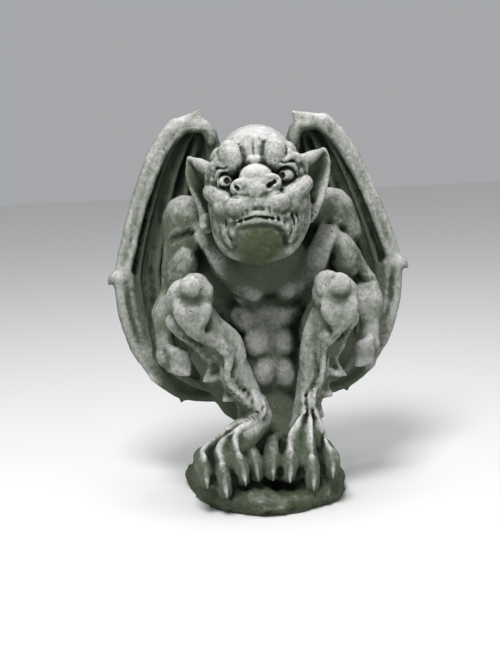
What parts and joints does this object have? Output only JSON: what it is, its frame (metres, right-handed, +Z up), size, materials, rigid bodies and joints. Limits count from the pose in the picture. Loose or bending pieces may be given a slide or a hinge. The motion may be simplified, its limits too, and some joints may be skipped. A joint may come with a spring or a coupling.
{
  "type": "stone gargoyle",
  "caption": "Crouching winged gargoyle cast in one with the rock it perches on, free standing on a flat underside.",
  "frame": {"origin": "middle of the rock's flat underside", "axes": "+Z up from the underside, -Y the way the figure faces, +X to the viewer's right"},
  "size_m": [0.4, 0.2603, 0.4875],
  "materials": {
    "stone": "weathered grey cast stone, pale on raised forms, green-black in the hollows"
  },
  "bodies": {
    "root": {"gargoyle": "stone"}
  },
  "joints": []
}
